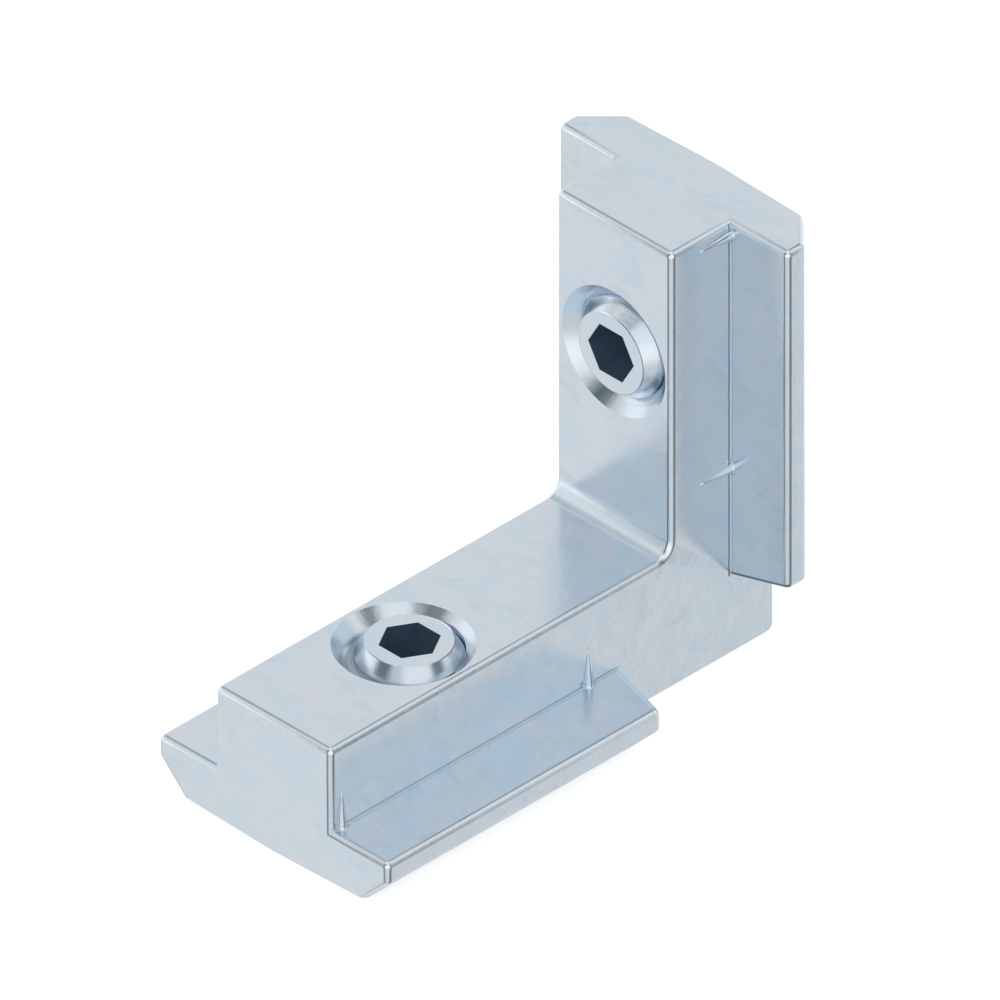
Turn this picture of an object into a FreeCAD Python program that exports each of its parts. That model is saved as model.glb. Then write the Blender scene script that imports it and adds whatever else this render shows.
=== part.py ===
import FreeCAD, Part
import Sketcher
import math
import os

# Inner corner bracket for slotted framing: a cast L whose two legs each have a
# T-nut section, with a raised neck between two flanges, and a set screw in each leg.
# X runs along the base leg towards the corner, Y across the neck, Z up the upright leg.

os.makedirs("parts", exist_ok=True)
doc = FreeCAD.newDocument("corner_bracket")

# Driving sizes, in millimetres and degrees

sizes = doc.addObject("Spreadsheet::Sheet", "sizes")
DRIVING_SIZES = [
    ("overall_length", 22.38, "free end of the base to the ridge of the back"),
    ("overall_height", 18.83, "ridge of the bottom to the top of the upright"),
    ("neck_width", 5.80, "both legs, across the slot opening"),
    ("flange_reach", 2.88, "how far a flange stands out from the neck"),
    ("flange_side", 0.87, "flat side of a flange, contact face to chamfer"),
    ("flange_chamfer", 1.18, "leg of the 45 degree chamfer on a flange"),
    ("crown_angle", 2.0, "fall of the bottom and back to each side of the ridge"),
    ("base_neck_rise", 3.54, "base neck face above its flanges"),
    ("upright_neck_rise", 2.98, "upright neck face before its flanges"),
    ("base_flange_length", 14.58, "free end of the base to the inner end of its flanges"),
    ("upright_flange_length", 15.42, "top of the upright to the inner end of its flanges"),
    ("flange_end_angle", 15.5, "slant of the inner ends of the flanges"),
    ("inner_radius", 0.64, "fillet between the two neck faces"),
    ("heel_radius", 0.25, "round where the bottom meets the back"),
    ("edge_radius", 0.23, "rounds on the outer edges of the casting"),
    ("root_radius", 0.05, "fillet at the foot of a flange or spike"),
    ("screw_diameter", 4.0, "set screw over its thread"),
    ("thread_clearance", 0.02, "radial gap between a screw and its hole"),
    ("base_hole_place", 6.90, "free end of the base to its screw axis"),
    ("upright_hole_place", 5.61, "top of the upright to its screw axis"),
    ("sink_diameter", 5.22, "countersink at the neck face"),
    ("sink_slope", 45.0, "wall of a countersink to its axis"),
    ("base_sink_offset", 0.30, "base countersink, from the screw towards the free end"),
    ("screw_length", 5.0, "set screw from its face to its tip"),
    ("screw_face_diameter", 3.28, "flat ring of a screw round its socket"),
    ("screw_crown_height", 0.53, "cone below the flat ring"),
    ("screw_tip_diameter", 2.5, "flat point of a screw"),
    ("screw_tip_height", 0.6, "cone above the flat point"),
    ("socket_size", 2.0, "hexagon socket across its flats"),
    ("socket_depth", 1.8, "hexagon socket along the screw"),
    ("socket_point_angle", 60.0, "slope of the drilled end of a socket to the screw axis"),
    ("base_screw_proud", 0.0, "base screw above its neck face"),
    ("upright_screw_proud", 0.14, "upright screw before its neck face"),
    ("spike_height", 1.66, "contact spike, flange face to its point"),
    ("spike_radius", 0.18, "contact spike at its foot"),
    ("spike_inset", 0.57, "free end of a leg to its first spike"),
    ("base_spike_inset", 1.56, "inner end of the base flanges to their second spike"),
    ("upright_spike_inset", 4.72, "inner end of the upright flanges to their second spike"),
]
for row, (alias, value, note) in enumerate(DRIVING_SIZES, start=1):
    sizes.set(f"A{row}", note)
    sizes.set(f"B{row}", str(value))
    sizes.setAlias(f"B{row}", alias)
doc.recompute()

# Places that follow from the sizes, as expressions that sketches and features share

BASE_END = "(-sizes.overall_length / 2)"
BACK_RIDGE = "(sizes.overall_length / 2)"
UPRIGHT_TOP = "sizes.overall_height"
HALF_NECK = "(sizes.neck_width / 2)"
HALF_WIDTH = "(sizes.neck_width / 2 + sizes.flange_reach)"
CHAMFER_EDGE = f"({HALF_WIDTH} - sizes.flange_chamfer)"
CROWN_SLOPE = "tan(sizes.crown_angle * 1deg)"
CROWN_FALL = f"({CHAMFER_EDGE} * {CROWN_SLOPE})"
SIDE_EDGE = f"({CROWN_FALL} + sizes.flange_chamfer)"
BASE_CONTACT = f"({SIDE_EDGE} + sizes.flange_side)"
UPRIGHT_CONTACT = f"({BACK_RIDGE} - {BASE_CONTACT})"
BASE_FACE = f"({BASE_CONTACT} + sizes.base_neck_rise)"
UPRIGHT_FACE = f"({UPRIGHT_CONTACT} - sizes.upright_neck_rise)"
BASE_INNER_END = f"({BASE_END} + sizes.base_flange_length)"
UPRIGHT_INNER_END = f"({UPRIGHT_TOP} - sizes.upright_flange_length)"
END_SLANT = "(sizes.flange_reach * tan(sizes.flange_end_angle * 1deg))"
BASE_AXIS = f"({BASE_END} + sizes.base_hole_place)"
UPRIGHT_AXIS = f"({UPRIGHT_TOP} - sizes.upright_hole_place)"
CUT_MARGIN = 1.0


# Ways of drawing

def value_of(expression):
    value = sizes.evalExpression(expression)
    return float(getattr(value, "Value", value))


def sketch_on(body, name, role, across="0", up="0", out="0"):
    """A sketch on an origin plane, with its own origin moved across, up and out of it."""
    sketch = body.newObject("Sketcher::SketchObject", name)
    plane = next(each for each in body.Origin.OriginFeatures if each.Role == role)
    sketch.AttachmentSupport = [(plane, "")]
    sketch.MapMode = "FlatFace"
    for axis, place in (("x", across), ("y", up), ("z", out)):
        sketch.setExpression(f"AttachmentOffset.Base.{axis}", place)
    doc.recompute()
    return sketch


def bind_constraint(sketch, expression, *rule):
    number = sketch.addConstraint(Sketcher.Constraint(*rule, value_of(expression)))
    sketch.setExpression(f"Constraints[{number}]", expression)


def draw_outline(sketch, corners, last_centre=None):
    """A closed outline whose corners are bound to pairs of expressions. The last side
    is straight, or an arc that turns to the left about last_centre."""
    points = [FreeCAD.Vector(value_of(x), value_of(y), 0) for x, y in corners]
    last = len(points) - 1
    for index in range(last):
        sketch.addGeometry(Part.LineSegment(points[index], points[index + 1]), False)
        if index > 0:
            sketch.addConstraint(Sketcher.Constraint("Coincident", index - 1, 2, index, 1))
    if last_centre:
        centre = FreeCAD.Vector(value_of(last_centre[0]), value_of(last_centre[1]), 0)
        angles = [math.atan2((end - centre).y, (end - centre).x) for end in (points[last], points[0])]
        circle = Part.Circle(centre, FreeCAD.Vector(0, 0, 1), points[0].distanceToPoint(centre))
        sketch.addGeometry(Part.ArcOfCircle(circle, *angles), False)
    else:
        sketch.addGeometry(Part.LineSegment(points[last], points[0]), False)
    sketch.addConstraint(Sketcher.Constraint("Coincident", last - 1, 2, last, 1))
    sketch.addConstraint(Sketcher.Constraint("Coincident", last, 2, 0, 1))
    for index, (across, up) in enumerate(corners):
        bind_constraint(sketch, across, "DistanceX", -1, 1, index, 1)
        if index < last or not last_centre:
            bind_constraint(sketch, up, "DistanceY", -1, 1, index, 1)
    if last_centre:
        bind_constraint(sketch, last_centre[0], "DistanceX", -1, 1, last, 3)
        bind_constraint(sketch, last_centre[1], "DistanceY", -1, 1, last, 3)
    doc.recompute()


def draw_circle(sketch, diameter):
    """A circle about the sketch's origin."""
    circle = Part.Circle(FreeCAD.Vector(), FreeCAD.Vector(0, 0, 1), value_of(diameter) / 2)
    number = sketch.addGeometry(circle, False)
    sketch.addConstraint(Sketcher.Constraint("Coincident", number, 3, -1, 1))
    bind_constraint(sketch, diameter, "Diameter", number)
    doc.recompute()


# Ways of shaping

def finish_feature(body, made):
    doc.recompute()
    if not made.isValid() or made.Shape.isNull():
        raise RuntimeError(f"{made.Name} could not be made")
    body.Tip = made
    return made


def pad(body, name, sketch, length, middle=False, backwards=False):
    made = body.newObject("PartDesign::Pad", name)
    made.Profile = sketch
    made.SideType = "Symmetric" if middle else "One side"
    made.Reversed = backwards
    made.setExpression("Length", length)
    return finish_feature(body, made)


def pocket(body, name, sketch, length=None, along=None):
    """A cut of a given length, or one through all of the body to both sides. It runs
    square to the sketch, or along the direction of three expressions."""
    made = body.newObject("PartDesign::Pocket", name)
    made.Profile = sketch
    made.SideType = "One side" if length else "Symmetric"
    made.Type = "Length" if length else "ThroughAll"
    if length:
        made.setExpression("Length", length)
    if along:
        made.UseCustomVector = True
        made.Direction = FreeCAD.Vector(*[value_of(part) for part in along])
        for axis, part in zip("xyz", along):
            made.setExpression(f"Direction.{axis}", part)
    finish_feature(body, made)
    if made.Shape.Volume >= made.BaseFeature.Shape.Volume:
        raise RuntimeError(f"{name} cut nothing")
    return made


def turn(body, kind, name, sketch, axis="V_Axis"):
    """A Revolution or a Groove, all the way round an axis of the sketch."""
    made = body.newObject(f"PartDesign::{kind}", name)
    made.Profile = sketch
    made.ReferenceAxis = (sketch, [axis])
    made.Angle = 360
    return finish_feature(body, made)


def mirror(body, name, features, role):
    made = body.newObject("PartDesign::Mirrored", name)
    made.Originals = features
    plane = next(each for each in body.Origin.OriginFeatures if each.Role == role)
    made.MirrorPlane = (plane, [""])
    return finish_feature(body, made)


def fillet(body, name, edges, radius):
    before = body.Tip
    made = body.newObject("PartDesign::Fillet", name)
    made.Base = (before, edges)
    made.setExpression("Radius", radius)
    return finish_feature(body, made)


# Ways of choosing edges by the two faces that meet there

EDGE_PROBE = 0.01
EDGE_TOLERANCE = 0.0001
RIDGE_ANGLE = 30.0
CHAMFER_LEAN = math.sin(math.radians(45))
CROWN_LEAN = math.sin(math.radians(value_of("sizes.crown_angle") + 5))


def is_hollow(shape, middle, normals):
    """Whether the two faces meet in an inward corner."""
    inside = middle + (normals[0] - normals[1]) * EDGE_PROBE
    return shape.isInside(inside, EDGE_TOLERANCE, False)


def is_crown(normal):
    """Whether a face is part of the crowned bottom, heel or back."""
    return abs(normal.y) < CROWN_LEAN and normal.x > -CROWN_LEAN and normal.z < CROWN_LEAN


def is_chamfer(normal):
    return abs(abs(normal.y) - CHAMFER_LEAN) < EDGE_TOLERANCE


def is_rounded(shape, middle, normals):
    """Whether they meet in an outward corner that the casting has rounded: all but
    those of the crown, which is rounded only where it meets a chamfer."""
    turned = math.degrees(normals[0].getAngle(normals[1]))
    if turned < RIDGE_ANGLE or is_hollow(shape, middle, normals):
        return False
    return not any(map(is_crown, normals)) or any(map(is_chamfer, normals))


def is_hollow_across_neck(shape, middle, normals):
    return abs(middle.y) < EDGE_TOLERANCE and is_hollow(shape, middle, normals)


def is_root(shape, middle, normals):
    """Whether a flange, its end or the foot of a spike meets what it stands on. The
    sides of a spike, which run along the neck to its point, stay sharp."""
    above_base = middle.z > value_of(BASE_CONTACT) + EDGE_PROBE
    before_upright = middle.x < value_of(UPRIGHT_CONTACT) - EDGE_PROBE
    return is_hollow(shape, middle, normals) and not (above_base and before_upright)


def choose_edges(shape, wanted):
    names = []
    for number, edge in enumerate(shape.Edges, start=1):
        middle = edge.valueAt((edge.FirstParameter + edge.LastParameter) / 2)
        faces = shape.ancestorsOfType(edge, Part.Face)
        if len(faces) == 2:
            normals = [face.normalAt(*face.Surface.parameter(middle)) for face in faces]
            if wanted(shape, middle, normals):
                names.append(f"Edge{number}")
    return names


# Bracket body: one zinc casting. The L of the neck comes first, then a flange plate
# across each leg, and then the crown and the chamfers along the bottom and the back.

bracket = doc.addObject("PartDesign::Body", "bracket_body")

neck_outline = sketch_on(bracket, "neck_outline", "XZ_Plane")
draw_outline(neck_outline, [
    (BASE_END, "0"),
    (BACK_RIDGE, "0"),
    (BACK_RIDGE, UPRIGHT_TOP),
    (UPRIGHT_FACE, UPRIGHT_TOP),
    (UPRIGHT_FACE, BASE_FACE),
    (BASE_END, BASE_FACE),
])
pad(bracket, "neck", neck_outline, "sizes.neck_width", middle=True)

base_flange_outline = sketch_on(bracket, "base_flange_outline", "XY_Plane")
draw_outline(base_flange_outline, [
    (BASE_END, f"-{HALF_WIDTH}"),
    (f"{BASE_INNER_END} - {END_SLANT}", f"-{HALF_WIDTH}"),
    (BASE_INNER_END, f"-{HALF_NECK}"),
    (BASE_INNER_END, HALF_NECK),
    (f"{BASE_INNER_END} - {END_SLANT}", HALF_WIDTH),
    (BASE_END, HALF_WIDTH),
])
pad(bracket, "base_flanges", base_flange_outline, BASE_CONTACT)

upright_flange_outline = sketch_on(bracket, "upright_flange_outline", "YZ_Plane", out=BACK_RIDGE)
draw_outline(upright_flange_outline, [
    (f"-{HALF_WIDTH}", UPRIGHT_TOP),
    (f"-{HALF_WIDTH}", f"{UPRIGHT_INNER_END} + {END_SLANT}"),
    (f"-{HALF_NECK}", UPRIGHT_INNER_END),
    (HALF_NECK, UPRIGHT_INNER_END),
    (HALF_WIDTH, f"{UPRIGHT_INNER_END} + {END_SLANT}"),
    (HALF_WIDTH, UPRIGHT_TOP),
])
pad(bracket, "upright_flanges", upright_flange_outline, BASE_CONTACT, backwards=True)

# What lies below the section of a leg: pairs of places across the leg and up from its ridge
below_crown = [
    (f"-({HALF_WIDTH} + {CUT_MARGIN})", f"-{CUT_MARGIN}"),
    (f"{HALF_WIDTH} + {CUT_MARGIN}", f"-{CUT_MARGIN}"),
    (f"{HALF_WIDTH} + {CUT_MARGIN}", f"{SIDE_EDGE} + {CUT_MARGIN}"),
    (CHAMFER_EDGE, CROWN_FALL),
    ("0", "0"),
    (f"-{CHAMFER_EDGE}", CROWN_FALL),
    (f"-({HALF_WIDTH} + {CUT_MARGIN})", f"{SIDE_EDGE} + {CUT_MARGIN}"),
]
bottom_outline = sketch_on(bracket, "bottom_outline", "YZ_Plane")
draw_outline(bottom_outline, below_crown)
pocket(bracket, "bottom_crown", bottom_outline)

back_outline = sketch_on(bracket, "back_outline", "XY_Plane")
draw_outline(back_outline, [(f"{BACK_RIDGE} - ({up})", across) for across, up in below_crown])
pocket(bracket, "back_crown", back_outline)

# The heel is rounded along the fall of the crown, to each side of the ridge
heel_outline = sketch_on(bracket, "heel_outline", "XZ_Plane")
draw_outline(heel_outline, [
    (BACK_RIDGE, "sizes.heel_radius"),
    (f"{BACK_RIDGE} + {CUT_MARGIN}", "sizes.heel_radius"),
    (f"{BACK_RIDGE} + {CUT_MARGIN}", f"-{CUT_MARGIN}"),
    (f"{BACK_RIDGE} - sizes.heel_radius", f"-{CUT_MARGIN}"),
    (f"{BACK_RIDGE} - sizes.heel_radius", "0"),
], last_centre=(f"{BACK_RIDGE} - sizes.heel_radius", "sizes.heel_radius"))
heel_side = pocket(bracket, "heel_side", heel_outline, f"{HALF_NECK} + {CUT_MARGIN}",
                   along=(f"-{CROWN_SLOPE}", "1", CROWN_SLOPE))
mirror(bracket, "heel_round", [heel_side], "XZ_Plane")
fillet(bracket, "inner_corner", choose_edges(bracket.Shape, is_hollow_across_neck),
       "sizes.inner_radius")
fillet(bracket, "cast_edges", choose_edges(bracket.Shape, is_rounded), "sizes.edge_radius")

# Contact spikes: slim cones that stand on the flanges against the neck, two a side on
# each leg. They score the coating of the slot, so that the joined profiles conduct.

base_spikes = [
    ("outer", f"{BASE_END} + sizes.spike_inset"),
    ("inner", f"{BASE_INNER_END} - sizes.base_spike_inset"),
]
upright_spikes = [
    ("outer", f"{UPRIGHT_TOP} - sizes.spike_inset"),
    ("inner", f"{UPRIGHT_INNER_END} + sizes.upright_spike_inset"),
]
near_side = []
for name, place in base_spikes:
    cone = sketch_on(bracket, f"base_{name}_cone", "XZ_Plane",
                     across=place, up=BASE_CONTACT, out=HALF_NECK)
    draw_outline(cone, [("0", "0"), ("sizes.spike_radius", "0"), ("0", "sizes.spike_height")])
    near_side.append(turn(bracket, "Revolution", f"base_{name}_spike", cone))
for name, place in upright_spikes:
    cone = sketch_on(bracket, f"upright_{name}_cone", "XZ_Plane",
                     across=UPRIGHT_CONTACT, up=place, out=HALF_NECK)
    draw_outline(cone, [("0", "0"), ("0", "sizes.spike_radius"), ("-sizes.spike_height", "0")])
    near_side.append(turn(bracket, "Revolution", f"upright_{name}_spike", cone, axis="H_Axis"))
mirror(bracket, "far_side_spikes", near_side, "XZ_Plane")

# Small fillets at the roots

fillet(bracket, "roots", choose_edges(bracket.Shape, is_root), "sizes.root_radius")

# Threaded hole through each leg, countersunk at the neck face. The base countersink
# was cast a little nearer the free end than its hole was drilled.

HOLE_DIAMETER = "(sizes.screw_diameter + 2 * sizes.thread_clearance)"
SINK_RADIUS = "(sizes.sink_diameter / 2)"
SINK_HEIGHT = "(sizes.sink_diameter / 2 / tan(sizes.sink_slope * 1deg))"

base_hole = sketch_on(bracket, "base_hole", "XY_Plane", across=BASE_AXIS)
draw_circle(base_hole, HOLE_DIAMETER)
pocket(bracket, "base_bore", base_hole)

upright_hole = sketch_on(bracket, "upright_hole", "YZ_Plane", up=UPRIGHT_AXIS)
draw_circle(upright_hole, HOLE_DIAMETER)
pocket(bracket, "upright_bore", upright_hole)

base_sink = sketch_on(bracket, "base_sink", "XZ_Plane",
                      across=f"{BASE_AXIS} - sizes.base_sink_offset", up=BASE_FACE)
draw_outline(base_sink, [("0", "0"), ("0", f"-{SINK_HEIGHT}"), (SINK_RADIUS, "0")])
turn(bracket, "Groove", "base_countersink", base_sink)

upright_sink = sketch_on(bracket, "upright_sink", "XZ_Plane",
                         across=UPRIGHT_FACE, up=UPRIGHT_AXIS)
draw_outline(upright_sink, [("0", "0"), (SINK_HEIGHT, "0"), ("0", SINK_RADIUS)])
turn(bracket, "Groove", "upright_countersink", upright_sink, axis="H_Axis")


# Set screws: steel, turned with a conical crown and point, and a broached socket. Each
# is modelled with its face at its own origin and its length downwards, then placed.

def set_screw(label, across, up, lean):
    screw = doc.addObject("PartDesign::Body", label)
    outline = sketch_on(screw, f"{label}_outline", "XZ_Plane")
    draw_outline(outline, [
        ("0", "0"),
        ("0", "-sizes.screw_length"),
        ("sizes.screw_tip_diameter / 2", "-sizes.screw_length"),
        ("sizes.screw_diameter / 2", "-(sizes.screw_length - sizes.screw_tip_height)"),
        ("sizes.screw_diameter / 2", "-sizes.screw_crown_height"),
        ("sizes.screw_face_diameter / 2", "0"),
    ])
    turn(screw, "Revolution", f"{label}_blank", outline)

    corner = "(sizes.socket_size / sqrt(3))"
    flat = "(sizes.socket_size / 2)"
    hexagon = sketch_on(screw, f"{label}_hexagon", "XY_Plane")
    draw_outline(hexagon, [
        ("0", corner), (f"-{flat}", f"{corner} / 2"), (f"-{flat}", f"-{corner} / 2"),
        ("0", f"-{corner}"), (flat, f"-{corner} / 2"), (flat, f"{corner} / 2"),
    ])
    pocket(screw, f"{label}_socket", hexagon, "sizes.socket_depth")

    drill = sketch_on(screw, f"{label}_drill", "XZ_Plane", up="-sizes.socket_depth")
    point = f"-{flat} / tan(sizes.socket_point_angle * 1deg)"
    draw_outline(drill, [("0", "0"), ("0", point), (flat, "0")])
    turn(screw, "Groove", f"{label}_drill_point", drill)

    screw.Placement = FreeCAD.Placement(
        FreeCAD.Vector(), FreeCAD.Rotation(FreeCAD.Vector(0, 1, 0), lean))
    screw.setExpression("Placement.Base.x", across)
    screw.setExpression("Placement.Base.z", up)
    doc.recompute()
    return screw


base_screw = set_screw("base_set_screw", BASE_AXIS,
                       f"{BASE_FACE} + sizes.base_screw_proud", lean=0)
upright_screw = set_screw("upright_set_screw", f"{UPRIGHT_FACE} - sizes.upright_screw_proud",
                          UPRIGHT_AXIS, lean=-90)

# Every object has to be sound before the pieces are written

doc.recompute()
for each in doc.Objects:
    if "Invalid" in each.State or "Error" in each.State:
        raise RuntimeError(f"{each.Name} failed: {each.State}")
for piece in (bracket, base_screw, upright_screw):
    if piece.Shape.isNull() or not piece.Shape.isValid():
        raise RuntimeError(f"{piece.Label} has no sound shape")
for piece in (bracket, base_screw, upright_screw):
    piece.Shape.exportStep(f"parts/{piece.Label}.step")
    box = piece.Shape.BoundBox
    print(f"{piece.Label}: {piece.Shape.Volume:.2f} mm3,",
          f"{box.XLength:.2f} x {box.YLength:.2f} x {box.ZLength:.2f} mm")
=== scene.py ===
import math

import bmesh
import bpy
from mathutils import Matrix, Vector


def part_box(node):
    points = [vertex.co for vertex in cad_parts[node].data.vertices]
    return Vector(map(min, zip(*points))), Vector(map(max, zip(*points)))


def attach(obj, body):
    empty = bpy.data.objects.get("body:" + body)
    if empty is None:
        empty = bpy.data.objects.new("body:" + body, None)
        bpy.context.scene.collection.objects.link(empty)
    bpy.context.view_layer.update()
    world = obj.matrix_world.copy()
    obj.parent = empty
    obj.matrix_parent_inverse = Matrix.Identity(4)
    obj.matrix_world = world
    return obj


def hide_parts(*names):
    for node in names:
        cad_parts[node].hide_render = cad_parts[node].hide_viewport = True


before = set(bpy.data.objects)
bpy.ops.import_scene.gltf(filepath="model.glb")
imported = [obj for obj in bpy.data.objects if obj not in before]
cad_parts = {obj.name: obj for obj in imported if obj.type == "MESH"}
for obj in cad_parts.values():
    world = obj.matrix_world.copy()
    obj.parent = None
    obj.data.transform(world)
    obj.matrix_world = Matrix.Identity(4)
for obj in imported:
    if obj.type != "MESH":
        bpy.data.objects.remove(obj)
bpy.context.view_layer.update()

# The camera looks down on the inside of the corner, from the free end and the near side,
# with no perspective: edges that run away from it stay parallel.

CAMERA_RISE = math.radians(35.0)
CAMERA_TURN = math.radians(45.0)
CAMERA_DISTANCE = 0.25
PICTURE_WIDTH = 0.035651
AIM_POINT = Vector((0.000454, 0.000188, 0.009415))

look = Vector((math.cos(CAMERA_RISE) * math.sin(CAMERA_TURN),
               math.cos(CAMERA_RISE) * math.cos(CAMERA_TURN),
               -math.sin(CAMERA_RISE)))
camera = bpy.data.objects.new("camera", bpy.data.cameras.new("camera"))
camera.data.type = "ORTHO"
camera.data.ortho_scale = PICTURE_WIDTH
camera.location = AIM_POINT - look * CAMERA_DISTANCE
camera.rotation_mode = "QUATERNION"
camera.rotation_quaternion = look.to_track_quat("-Z", "Y")
bpy.context.scene.collection.objects.link(camera)
bpy.context.scene.camera = camera
bpy.context.scene.view_settings.view_transform = "Standard"

# Floor and light: a pale table top in a white room, with two wide soft lamps. Metal sees
# the room as a light tent of white cloth, with dark gaps and brighter patches in it.

FLOOR_SIZE = 3.0
FLOOR_COLOUR = (0.90, 0.90, 0.90, 1.0)
FLOOR_GLOW = 0.50
ROOM_LIGHT = 0.60
# Each lamp: its name, place, width and power.
LAMPS = [("left_lamp", (-0.30, -0.10, 0.34), 0.45, 1.2),
         ("right_lamp", (0.34, -0.20, 0.34), 0.45, 0.9)]
WHITE = (1.0, 1.0, 1.0, 1.0)
UP = Vector((0.0, 0.0, 1.0))
LENS_SIDE = Vector((-look.x, -look.y, 0.0)).normalized()
RIGHT_SIDE = UP.cross(LENS_SIDE)

# The cloth, by its place round the bracket: 0 is behind it, 0.25 on its left, 0.5 at the
# lens and 0.75 on its right.
CLOTH = [(0.00, 0.82), (0.25, 0.84), (0.38, 0.95), (0.62, 0.95), (0.75, 0.83), (1.00, 0.82)]
# Each patch: its turn from the lens to the right and half its width, its rise over the
# table and half its height, in degrees, and how much brighter or darker than the cloth.
PATCHES = [
    (-55, 19, -42, 27, -0.66), (-62, 17, 18, 36, -0.78), (-38, 20, 46, 13, -0.60),
    (58, 24, -42, 26, -0.74), (66, 14, 20, 37, -0.76), (120, 18, 17, 13, -0.46),
    (150, 22, 50, 9, -0.75), (-142, 30, 52, 9, -0.55), (-150, 32, -49, 13, -0.62),
    (0, 40, -38, 18, -0.23), (0, 40, -64, 14, -0.40), (0, 36, 5, 16, 0.16),
    (-112, 26, 14, 14, 0.28), (-82, 9, -5, 9, 0.70), (-90, 14, 36, 10, -0.07),
    (90, 16, 36, 10, 0.10), (152, 26, -12, 32, 0.30), (174, 12, 3, 13, 0.60),
    (160, 34, -44, 9, -0.62), (-180, 20, -40, 8, -0.60),
]
# Patches, and lines on the metal, fade over this share of their half width, on both sides.
BAND_SOFTNESS = 0.40
# The dark gaps are a little blue: the tint fades between these two levels of light.
GAP_TINT = (0.80, 0.92, 1.0, 1.0)
GAP_LEVELS = (0.2, 0.8)


class Value:
    """A number or colour on its way through a material. Sums on it add Math nodes."""

    def __init__(self, finish, socket):
        self.finish = finish
        self.socket = socket

    def __add__(self, other):
        return self.finish.sum("ADD", self, other)

    def __sub__(self, other):
        return self.finish.sum("SUBTRACT", self, other)

    def __mul__(self, other):
        return self.finish.sum("MULTIPLY", self, other)

    def __rsub__(self, other):
        return self.finish.sum("SUBTRACT", other, self)

    __radd__ = __add__
    __rmul__ = __mul__


class Finish:
    """The nodes of a material, or of the room's light, while they are being put together."""

    def __init__(self, owner):
        owner.use_nodes = True
        self.owner = owner
        self.tree = owner.node_tree
        self.tree.nodes.clear()

    def node(self, kind, settings=None, sockets=None, out=0):
        """Adds a node with its settings, sets or links its sockets and gives one output."""
        made = self.tree.nodes.new(kind)
        for name, setting in (settings or {}).items():
            if name == "stops":
                self.set_stops(made.color_ramp, setting)
            else:
                setattr(made, name, setting)
        for name, given in (sockets or {}).items():
            if isinstance(given, Value):
                self.tree.links.new(given.socket, made.inputs[name])
            else:
                made.inputs[name].default_value = given
        return Value(self, made.outputs[out]) if made.outputs else None

    def set_stops(self, ramp, stops):
        """Each stop is a place and a grey, or a place and a colour."""
        while len(ramp.elements) < len(stops):
            ramp.elements.new(1.0)
        for element, (place, shade) in zip(ramp.elements, stops):
            element.position = place
            element.color = (shade,) * 3 + (1.0,) if isinstance(shade, float) else shade

    def sum(self, operation, first, second=0.0):
        """One Math node on values, numbers or both."""
        return self.node("ShaderNodeMath", {"operation": operation}, {0: first, 1: second})

    def ramp(self, stops, at):
        """The shade between its stops that stands at a place from 0 to 1."""
        return self.node("ShaderNodeValToRGB", {"stops": stops}, {"Fac": at})

    def ease(self, value, start, end):
        """Rises smoothly from 0 at the start to 1 at the end."""
        return self.node("ShaderNodeMapRange", {"interpolation_type": "SMOOTHSTEP"},
                         {"Value": value, "From Min": start, "From Max": end})

    def within(self, value, middle, half):
        """1 near the middle of a soft band, and 0 outside it."""
        off = self.sum("ABSOLUTE", value - middle)
        return 1 - self.ease(off, half * (1 - BAND_SOFTNESS), half * (1 + BAND_SOFTNESS))

    def along(self, place, direction):
        """How far a place lies along a direction."""
        return self.node("ShaderNodeVectorMath", {"operation": "DOT_PRODUCT"},
                         {0: place, 1: direction}, out="Value")

    def blend(self, first, second, share):
        """A colour between two colours."""
        return self.node("ShaderNodeMix", {"data_type": "RGBA"},
                         {0: share, 6: first, 7: second}, out=2)


def add_piece(name, shape):
    """Turns a finished bmesh into an object at the origin."""
    mesh = bpy.data.meshes.new(name)
    shape.to_mesh(mesh)
    shape.free()
    piece = bpy.data.objects.new(name, mesh)
    bpy.context.scene.collection.objects.link(piece)
    return piece


shape = bmesh.new()
bmesh.ops.create_grid(shape, x_segments=1, y_segments=1, size=FLOOR_SIZE)
floor = add_piece("floor", shape)
floor.visible_glossy = False

table_top = Finish(bpy.data.materials.new("table_top"))
seen = table_top.node("ShaderNodeLightPath", out="Is Camera Ray")
matt = table_top.node("ShaderNodeBsdfDiffuse", sockets={"Color": FLOOR_COLOUR})
glow = table_top.node("ShaderNodeEmission", sockets={"Strength": seen * FLOOR_GLOW})
both = table_top.node("ShaderNodeAddShader", sockets={0: matt, 1: glow})
table_top.node("ShaderNodeOutputMaterial", sockets={"Surface": both})
floor.data.materials.append(table_top.owner)

bpy.context.scene.world = bpy.data.worlds.new("room")
room = Finish(bpy.context.scene.world)
way = room.node("ShaderNodeTexCoord", out="Generated")
around = room.sum("ARCTAN2", room.along(way, RIGHT_SIDE), room.along(way, LENS_SIDE))
turn = around * math.degrees(1.0)
rise = room.sum("ARCSINE", room.along(way, UP)) * math.degrees(1.0)
tent = room.ramp(CLOTH, turn * (1 / 360) + 0.5)
for middle, half_width, height, half_height, change in PATCHES:
    patch = room.within(turn, middle, half_width) * room.within(rise, height, half_height)
    tent = tent * (patch * change + 1)
camera_ray = room.node("ShaderNodeLightPath", out="Is Camera Ray")
mirror_ray = room.node("ShaderNodeLightPath", out="Is Glossy Ray")
level = camera_ray + mirror_ray * tent + (1 - camera_ray - mirror_ray) * ROOM_LIGHT
tint = room.blend(GAP_TINT, WHITE, room.ease(level, *GAP_LEVELS))
air = room.node("ShaderNodeBackground", sockets={"Color": tint, "Strength": level})
room.node("ShaderNodeOutputWorld", sockets={"Surface": air})

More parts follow.
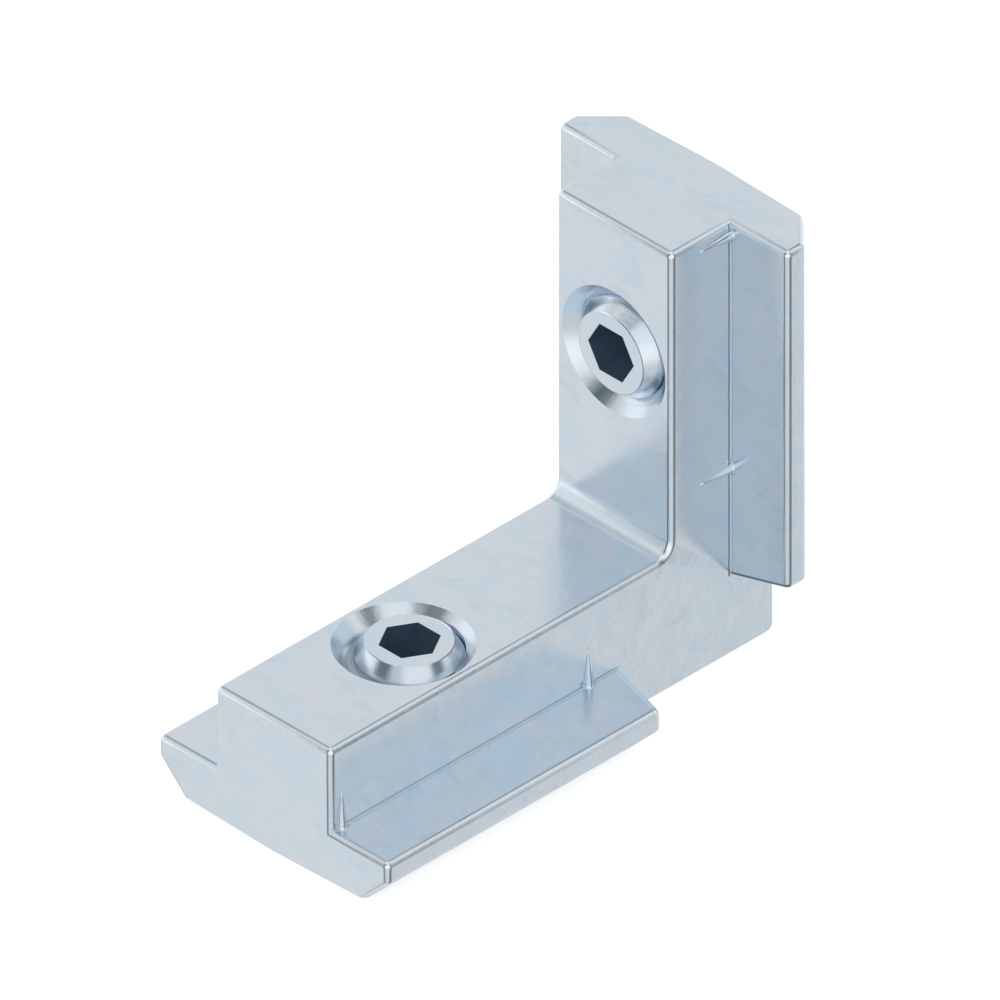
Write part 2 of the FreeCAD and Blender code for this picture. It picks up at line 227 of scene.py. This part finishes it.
for name, place, size, power in LAMPS:
    lamp = bpy.data.lights.new(name, "AREA")
    lamp.shape = "DISK"
    lamp.size = size
    lamp.energy = power
    holder = bpy.data.objects.new(name, lamp)
    holder.location = place
    holder.rotation_mode = "QUATERNION"
    holder.rotation_quaternion = (AIM_POINT - Vector(place)).to_track_quat("-Z", "Y")
    holder.visible_glossy = False
    bpy.context.scene.collection.objects.link(holder)

# Bracket body: one zinc casting, barrelled and then zinc plated, which leaves the metal
# bright and a little cloudy. Its rounds shade smoothly and its flat faces stay flat.

ZINC_COOL = (0.678, 0.797, 0.878, 1.0)
ZINC_WARM = (0.765, 0.800, 0.864, 1.0)
ZINC_DULL = (0.625, 0.695, 0.780, 1.0)
# Painted highlight on the rounds.
ZINC_ROUND_HIGHLIGHT = (0.860, 0.935, 0.985, 1.0)
# Painted highlight, on the inner bend and on the bright lines by the flanges.
ZINC_PAINTED_HIGHLIGHT = (0.84, 0.94, 1.0, 1.0)
# Painted shade, on the dark lines by the flanges and in the base's lead-in.
ZINC_PAINTED_SHADE = (0.240, 0.300, 0.350, 1.0)
ZINC_ROUGHNESS = 0.19
CLOUD_SIZE = 0.0012
DULL_CLOUDS = (0.48, 0.80)
RELIEF_STRENGTH = 0.12
RELIEF_DEPTH = CLOUD_SIZE * 0.1
TINT_SIZE = 0.0014
WARM_TINTS = (0.32, 0.70)
GRAIN_SIZE = 0.00025
GRAIN_SPREAD = 0.08
STREAK_TURN = (0.0, 0.0, math.radians(45.0))
STREAK_STRETCH = (1.0, 0.6, 1.0)
SHARP_ANGLE = math.radians(32.0)
WELD_DISTANCE = 1e-7

# The casting's own places: its neck, the faces of its flanges that touch the slot, the
# flanges' slanted inner ends, and how far the inner bend and the countersinks reach.
HALF_NECK = 0.0029
BASE_CONTACT = 0.0022106
UPRIGHT_CONTACT = 0.0089794
BASE_INNER_END = 0.00333
UPRIGHT_INNER_END = 0.00341
END_SLANT = math.tan(math.radians(15.5))
END_ROUND = 0.00023
INNER_CORNER = (0.0059994, 0.0057506)
BEND_REACH = 0.00063
BEND_FADE = 0.06
NECK_FLAT = (HALF_NECK * 0.93, HALF_NECK * 0.90)
SINK_REACH = 0.00275
SINK_FADE = 0.02

# How much of each painted highlight and painted shade shows there, and how much more matt it
# is. The metal counts as a round until it faces one of the axes as squarely as FLAT_FACING.
AXES = (Vector((1.0, 0.0, 0.0)), Vector((0.0, 1.0, 0.0)), UP)
FLAT_FACING = (0.90, 0.995)
ROUND_HIGHLIGHT = 0.5
ROUND_MATT = 0.1
BEND_MATT = 0.10
# The fine lines along a flange, all painted light and shade: a dark painted shade on the
# neck, just above its root, a bright painted highlight on the flange, just outside the root,
# and one on its inner end, a painted highlight on the base and a painted shade on the
# upright. Middle and half width.
ROOT_LINE = 0.00004
NECK_LINE = (ROOT_LINE * 1.7, ROOT_LINE)
FACE_LINE = (ROOT_LINE * 1.2, ROOT_LINE * 1.3)
END_LINE = (END_ROUND * 0.6, END_ROUND * 0.3)
END_LINE_FOOT = (-END_ROUND, -END_ROUND * 0.6)
NECK_LINE_MATT = 0.3
FACE_LINE_MATT = 0.55
BASE_NECK_SHADE = 0.35
BASE_END_MATT = 0.0
UPRIGHT_NECK_SHADE = 0.9
UPRIGHT_END_MATT = 0.4


class Zinc(Finish):
    """Bright zinc plating with faint warm and cool clouds and duller streaks."""

    def __init__(self, name, dullness):
        super().__init__(bpy.data.materials.new(name))
        self.place = self.node("ShaderNodeTexCoord", out="Object")
        drawn = self.node("ShaderNodeMapping", sockets={
            "Vector": self.place, "Rotation": STREAK_TURN, "Scale": STREAK_STRETCH})
        self.clouds = self.node("ShaderNodeTexNoise", sockets={
            "Vector": drawn, "Scale": 1 / CLOUD_SIZE, "Detail": 8.0, "Roughness": 0.72,
            "Distortion": 0.5})
        tints = self.node("ShaderNodeTexNoise", sockets={
            "Vector": drawn, "Scale": 1 / TINT_SIZE, "Detail": 8.0, "Roughness": 0.68,
            "Distortion": 0.7})
        plated = self.blend(ZINC_COOL, ZINC_WARM, self.ease(tints, *WARM_TINTS))
        dull = self.ease(self.clouds, *DULL_CLOUDS) * dullness
        self.colour = self.blend(plated, ZINC_DULL, dull)
        grain = self.node("ShaderNodeTexNoise", sockets={
            "Vector": self.place, "Scale": 1 / GRAIN_SIZE, "Detail": 3.0, "Roughness": 0.6})
        self.roughness = (grain - 0.5) * GRAIN_SPREAD + ZINC_ROUGHNESS

    def coat(self, colour, share, matt=0.0):
        """Covers a share of the surface with another colour, and makes it more matt."""
        self.colour = self.blend(self.colour, colour, share)
        self.roughness = self.roughness + share * matt

    def off_square(self):
        """1 where the metal faces no axis of the bracket, as on its rounds."""
        facing = self.node("ShaderNodeTexCoord", out="Normal")
        square = 0.0
        for axis in AXES:
            square = self.sum("MAXIMUM", self.sum("ABSOLUTE", self.along(facing, axis)), square)
        return 1 - self.ease(square, *FLAT_FACING)

    def close(self):
        """Adds the faint relief of the clouds and gives the finished material."""
        relief = self.node("ShaderNodeBump", sockets={
            "Height": self.clouds, "Strength": RELIEF_STRENGTH, "Distance": RELIEF_DEPTH})
        surface = self.node("ShaderNodeBsdfPrincipled", sockets={
            "Base Color": self.colour, "Metallic": 1.0, "Roughness": self.roughness,
            "Normal": relief})
        self.node("ShaderNodeOutputMaterial", sockets={"Surface": surface})
        return self.owner


casting = Zinc("casting_zinc", dullness=0.8)
along_base, across, up = (casting.along(casting.place, axis) for axis in AXES)
aside = casting.sum("ABSOLUTE", across)
beyond_neck = aside - HALF_NECK

low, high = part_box("base_set_screw")
middle = (low + high) / 2
base_screw_face = Vector((middle.x, middle.y, high.z))
low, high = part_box("upright_set_screw")
middle = (low + high) / 2
upright_screw_face = Vector((low.x, middle.y, middle.z))

beside_sinks = 1
for screw_face in (base_screw_face, upright_screw_face):
    off = casting.node("ShaderNodeVectorMath", {"operation": "DISTANCE"},
                       {0: casting.place, 1: screw_face}, out="Value")
    clear = casting.ease(off, SINK_REACH * (1 - SINK_FADE), SINK_REACH)
    beside_sinks = clear * beside_sinks
# Painted highlight: the rounds, away from the countersinks, get a brighter colour.
casting.coat(ZINC_ROUND_HIGHLIGHT, casting.off_square() * beside_sinks * ROUND_HIGHLIGHT, matt=ROUND_MATT)

# Painted highlight: the inner bend gets a brighter, bluer colour.
from_corner = casting.sum("MAXIMUM", casting.sum("ABSOLUTE", along_base - INNER_CORNER[0]),
                          casting.sum("ABSOLUTE", up - INNER_CORNER[1]))
in_bend = (casting.ease(from_corner, BEND_REACH, BEND_REACH * (1 - BEND_FADE))
           * casting.ease(aside, *NECK_FLAT))
casting.coat(ZINC_PAINTED_HIGHLIGHT, in_bend, matt=BEND_MATT)


def paint_flange_light_and_shade(above_face, from_end, neck_shade, end_highlight_or_shade, end_matt):
    """Paints the fine lines of painted highlight and painted shade along a flange, by the height
    over its contact face and the way from its inner end towards the leg's free end."""
    on_leg = casting.ease(from_end, 0.0, ROOT_LINE)
    on_neck = casting.within(above_face, *NECK_LINE) * casting.within(beyond_neck, 0.0, ROOT_LINE)
    on_face = casting.within(beyond_neck, *FACE_LINE) * casting.within(above_face, 0.0, ROOT_LINE)
    on_end = (casting.within(from_end - beyond_neck * END_SLANT, *END_LINE)
              * casting.ease(above_face, *END_LINE_FOOT)
              * casting.ease(beyond_neck, 0.0, ROOT_LINE))
    # A painted highlight on the flange, a painted shade on the neck, and on the inner end
    # whichever the call gives.
    casting.coat(ZINC_PAINTED_HIGHLIGHT, on_face * on_leg, matt=FACE_LINE_MATT)
    casting.coat(ZINC_PAINTED_SHADE, on_neck * on_leg * neck_shade, matt=NECK_LINE_MATT)
    casting.coat(end_highlight_or_shade, on_end, matt=end_matt)


paint_flange_light_and_shade(up - BASE_CONTACT, BASE_INNER_END - along_base,
            BASE_NECK_SHADE, ZINC_PAINTED_HIGHLIGHT, BASE_END_MATT)
paint_flange_light_and_shade(UPRIGHT_CONTACT - along_base, up - UPRIGHT_INNER_END,
            UPRIGHT_NECK_SHADE, ZINC_PAINTED_SHADE, UPRIGHT_END_MATT)
casting_zinc = casting.close()

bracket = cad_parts["bracket_body"]
bracket.data.materials.clear()
bracket.data.materials.append(casting_zinc)
weld = bracket.modifiers.new("weld", "WELD")
weld.merge_threshold = WELD_DISTANCE
split = bracket.modifiers.new("split", "EDGE_SPLIT")
split.split_angle = SHARP_ANGLE
split.use_edge_sharp = False
flatten = bracket.modifiers.new("flatten", "WEIGHTED_NORMAL")
flatten.mode = "FACE_AREA"
flatten.weight = 100

# Contact spikes: slim cones cast on the flanges, against the neck, that score the coating
# of the slot. Each one is a turned skin over the casting's own cone, flared at its foot.

SPIKE_RADIUS = 0.000200
SPIKE_HEIGHT = 0.001675
SPIKE_SHOULDER = (SPIKE_RADIUS * 0.26, SPIKE_HEIGHT * 0.8)
SPIKE_FLARE = 0.00009
SPIKE_SEGMENTS = 32
FLARE_STEPS = 5
SPIKE_INSET = 0.00057
BASE_SECOND_SPIKE = 0.00183
UPRIGHT_SECOND_SPIKE = 0.00813

low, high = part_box("bracket_body")
spike_seats = [((low.x + SPIKE_INSET, BASE_CONTACT), 0.0),
               ((BASE_SECOND_SPIKE, BASE_CONTACT), 0.0),
               ((UPRIGHT_CONTACT, high.z - SPIKE_INSET), -90.0),
               ((UPRIGHT_CONTACT, UPRIGHT_SECOND_SPIKE), -90.0)]


def turned(shape, outline, segments):
    """Spins an outline of (radius, height) pairs, open at both ends, about the Z axis."""
    points = [shape.verts.new((radius, 0.0, height)) for radius, height in outline]
    sides = [shape.edges.new(pair) for pair in zip(points, points[1:])]
    bmesh.ops.spin(shape, geom=points + sides, cent=(0, 0, 0), axis=UP, dvec=(0, 0, 0),
                   angle=math.tau, steps=segments, use_merge=True, use_duplicate=False)
    bmesh.ops.remove_doubles(shape, verts=shape.verts, dist=WELD_DISTANCE)


shape = bmesh.new()
flare = [(SPIKE_RADIUS + SPIKE_FLARE * (1 - math.cos(math.tau / 4 * step / FLARE_STEPS)),
          SPIKE_FLARE * (1 - math.sin(math.tau / 4 * step / FLARE_STEPS)))
         for step in range(FLARE_STEPS, -1, -1)]
turned(shape, flare + [SPIKE_SHOULDER, (0.0, SPIKE_HEIGHT)], SPIKE_SEGMENTS)
bmesh.ops.recalc_face_normals(shape, faces=shape.faces)
pattern = bpy.data.meshes.new("spike")
shape.to_mesh(pattern)
shape.free()

shape = bmesh.new()
for side in (-HALF_NECK, HALF_NECK):
    for (along, height), lean in spike_seats:
        start = len(shape.verts)
        shape.from_mesh(pattern)
        shape.verts.ensure_lookup_table()
        seat = (Matrix.Translation((along, side, height))
                @ Matrix.Rotation(math.radians(lean), 4, "Y"))
        bmesh.ops.transform(shape, matrix=seat, verts=shape.verts[start:])
for face in shape.faces:
    face.smooth = True
spikes = add_piece("contact_spikes", shape)
spikes.data.materials.append(Zinc("spike_zinc", dullness=0.3).close())
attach(spikes, "bracket")

# Set screws: turned steel with a rolled M4 thread, zinc plated. The socket is punched, deep
# and narrow; its inside is a painted shade, nearly black, with a faint painted glow.

THREAD_RADIUS = 0.002
THREAD_PITCH = 0.0007
# The depth of a metric thread, with its crests and roots cut flat.
THREAD_DEPTH = THREAD_PITCH * 0.5413
THREAD_STEPS = 72
THREAD_COLLAR = 0.00025
THREAD_RUNOUT = 0.0006
SCREW_LENGTH = 0.005
FACE_RADIUS = 0.00164
FACE_CHAMFER = 0.00004
FACE_FALL = FACE_CHAMFER * math.tan(math.radians(20.0))
CROWN_HEIGHT = 0.00053
TIP_RADIUS = 0.00125
TIP_HEIGHT = 0.0006
SOCKET_FLAT = 0.001
SOCKET_CORNER = SOCKET_FLAT / math.cos(math.pi / 6)
SOCKET_DEPTH = 0.0018
DRILL_DEPTH = SOCKET_DEPTH + SOCKET_FLAT / math.sqrt(3)
# The socket's inside: a painted shade, nearly black, and a faint painted glow that evens it.
SOCKET_PAINTED_SHADE = (0.020, 0.034, 0.052, 1.0)
SOCKET_PAINTED_GLOW = (0.010, 0.018, 0.028, 1.0)
SOCKET_ROUGHNESS = 0.5
SOCKET_MARKS = 0.0004
MARKS_SPREAD = 0.2

screw_zinc = Zinc("screw_zinc", dullness=0.3).close()
socket_painted_shade = Finish(bpy.data.materials.new("socket_painted_shade"))
place = socket_painted_shade.node("ShaderNodeTexCoord", out="Object")
marks = socket_painted_shade.node("ShaderNodeTexNoise", sockets={
    "Vector": place, "Scale": 1 / SOCKET_MARKS, "Detail": 3.0})
surface = socket_painted_shade.node("ShaderNodeBsdfPrincipled", sockets={
    "Base Color": SOCKET_PAINTED_SHADE, "Roughness": (marks - 0.5) * MARKS_SPREAD + SOCKET_ROUGHNESS,
    "Specular IOR Level": 0.15, "Emission Color": SOCKET_PAINTED_GLOW, "Emission Strength": 1.0})
socket_painted_shade.node("ShaderNodeOutputMaterial", sockets={"Surface": surface})


def rim(shape, height):
    """The open edges that lie at a height."""
    return [edge for edge in shape.edges if edge.is_boundary
            and all(abs(vert.co.z - height) < WELD_DISTANCE for vert in edge.verts)]


def draw_out(shape, edges, shift, spread=1.0):
    """Extrudes open edges along the Z axis, spreads or narrows them and gives the new points."""
    grown = bmesh.ops.extrude_edge_only(shape, edges=edges)
    points = [part for part in grown["geom"] if isinstance(part, bmesh.types.BMVert)]
    bmesh.ops.scale(shape, verts=points, vec=(spread, spread, 1.0))
    bmesh.ops.translate(shape, verts=points, vec=(0, 0, shift))
    return points


def sharpen(shape):
    """Turns its faces outwards and marks the edges that don't shade smoothly."""
    bmesh.ops.recalc_face_normals(shape, faces=shape.faces)
    for edge in shape.edges:
        edge.smooth = edge.calc_face_angle(0.0) < SHARP_ANGLE


def thread(shape):
    """A helix of one pitch of the thread, cut to length, which runs out below the crown and
    is cut back by the cone of the tip."""
    turns = math.ceil(SCREW_LENGTH / THREAD_PITCH) + 2
    start = -THREAD_PITCH * (turns - 0.5)
    flank = THREAD_PITCH * 5 / 16
    crest = THREAD_PITCH / 8
    core = THREAD_RADIUS - THREAD_DEPTH
    outline = [(THREAD_RADIUS, 0.0), (THREAD_RADIUS, crest), (core, crest + flank),
               (core, THREAD_PITCH - flank), (THREAD_RADIUS, THREAD_PITCH)]
    points = [shape.verts.new((radius, 0.0, start + height)) for radius, height in outline]
    sides = [shape.edges.new(pair) for pair in zip(points, points[1:])]
    bmesh.ops.spin(shape, geom=points + sides, cent=(0, 0, 0), axis=UP,
                   dvec=(0, 0, THREAD_PITCH / THREAD_STEPS), angle=math.tau * turns,
                   steps=THREAD_STEPS * turns, use_merge=False, use_duplicate=False)
    bmesh.ops.remove_doubles(shape, verts=shape.verts, dist=WELD_DISTANCE)
    for level, cleared in ((-CROWN_HEIGHT, "clear_outer"), (-SCREW_LENGTH, "clear_inner")):
        bmesh.ops.bisect_plane(shape, geom=shape.verts[:] + shape.edges[:] + shape.faces[:],
                               dist=WELD_DISTANCE / 10, plane_co=(0, 0, level), plane_no=UP,
                               **{cleared: True})
    tip_slope = (THREAD_RADIUS - TIP_RADIUS) / TIP_HEIGHT
    for vert in shape.verts:
        radius = math.hypot(vert.co.x, vert.co.y)
        deep = min(1.0, max(0.0, (-CROWN_HEIGHT - THREAD_COLLAR - vert.co.z) / THREAD_RUNOUT))
        wanted = THREAD_RADIUS - (THREAD_RADIUS - radius) * deep
        wanted = min(wanted, TIP_RADIUS + (vert.co.z + SCREW_LENGTH) * tip_slope)
        vert.co.x *= wanted / radius
        vert.co.y *= wanted / radius


def set_screw(name, node, body, placing):
    """The screw's face is at the origin and its length runs down, before it is placed."""
    shape = bmesh.new()
    thread(shape)
    bmesh.ops.holes_fill(shape, edges=rim(shape, -SCREW_LENGTH), sides=0)

    crown = [(-CROWN_HEIGHT, THREAD_RADIUS), (-FACE_FALL, FACE_RADIUS),
             (0.0, FACE_RADIUS - FACE_CHAMFER)]
    for (level, reach), (next_level, next_reach) in zip(crown, crown[1:]):
        draw_out(shape, rim(shape, level), next_level - level, next_reach / reach)

    bmesh.ops.create_circle(shape, segments=6, radius=SOCKET_CORNER)
    face_rim = rim(shape, 0.0)
    mouth = [edge for edge in shape.edges if edge.is_wire]
    bmesh.ops.triangle_fill(shape, edges=face_rim + mouth, use_beauty=True, normal=UP)
    draw_out(shape, mouth, -SOCKET_DEPTH)
    drilled = draw_out(shape, rim(shape, -SOCKET_DEPTH), 0.0)
    bmesh.ops.pointmerge(shape, verts=drilled, merge_co=(0, 0, -DRILL_DEPTH))

    sharpen(shape)
    for face in shape.faces:
        middle = face.calc_center_median()
        face.smooth = middle.z < -WELD_DISTANCE
        in_socket = (math.hypot(middle.x, middle.y) < SOCKET_CORNER
                     and -DRILL_DEPTH < middle.z < -WELD_DISTANCE)
        face.material_index = int(in_socket)
    bmesh.ops.transform(shape, matrix=placing, verts=shape.verts)

    screw = add_piece(name, shape)
    screw.data.materials.append(screw_zinc)
    screw.data.materials.append(socket_painted_shade.owner)
    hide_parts(node)
    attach(screw, body)


# Lead-ins: the start of each threaded hole, a narrow ring of the casting's zinc that closes
# the countersink round the foot of the screw's crown. In the base it is duller, and darker
# with painted shade.

LEAD_IN_GAP = 0.000004
LEAD_IN_DEPTH = 0.00025
# How far each one reaches from the screw's axis, and how far its inner and outer edges lie
# below the foot of the crown.
BASE_LEAD_IN = {"reach": 0.00246, "inner_fall": 0.00012, "outer_fall": -0.00004}
UPRIGHT_LEAD_IN = {"reach": 0.00226, "inner_fall": 0.00017, "outer_fall": -0.00006}
LEAD_IN_PAINTED_SHADE = 0.4
LEAD_IN_MATT = 0.8


def lead_in(name, placing, finish, reach, inner_fall, outer_fall):
    """A turned ring, laid out round the screw's axis like the screw, before it is placed."""
    shape = bmesh.new()
    inner = THREAD_RADIUS + LEAD_IN_GAP
    outline = [(inner, -CROWN_HEIGHT - inner_fall), (reach, -CROWN_HEIGHT - outer_fall),
               (reach, -CROWN_HEIGHT - LEAD_IN_DEPTH), (inner, -CROWN_HEIGHT - LEAD_IN_DEPTH)]
    turned(shape, outline + outline[:1], THREAD_STEPS)
    sharpen(shape)
    for face in shape.faces:
        face.smooth = True
    bmesh.ops.transform(shape, matrix=placing, verts=shape.verts)
    ring = add_piece(name, shape)
    ring.data.materials.append(finish)
    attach(ring, "bracket")


# The base's lead-in: darker by a painted shade, and more matt.
lead_in_shaded = Zinc("lead_in_shaded_zinc", dullness=1.0)
lead_in_shaded.coat(ZINC_PAINTED_SHADE, LEAD_IN_PAINTED_SHADE, matt=LEAD_IN_MATT)

# Each screw goes in with the lead-in of its hole: straight down, and towards the back.
placing = Matrix.Translation(base_screw_face)
set_screw("base_screw_turned", "base_set_screw", "base_screw", placing)
lead_in("base_lead_in", placing, lead_in_shaded.close(), **BASE_LEAD_IN)
placing = (Matrix.Translation(upright_screw_face)
           @ Matrix.Rotation(math.radians(-90.0), 4, "Y"))
set_screw("upright_screw_turned", "upright_set_screw", "upright_screw", placing)
lead_in("upright_lead_in", placing, casting_zinc, **UPRIGHT_LEAD_IN)
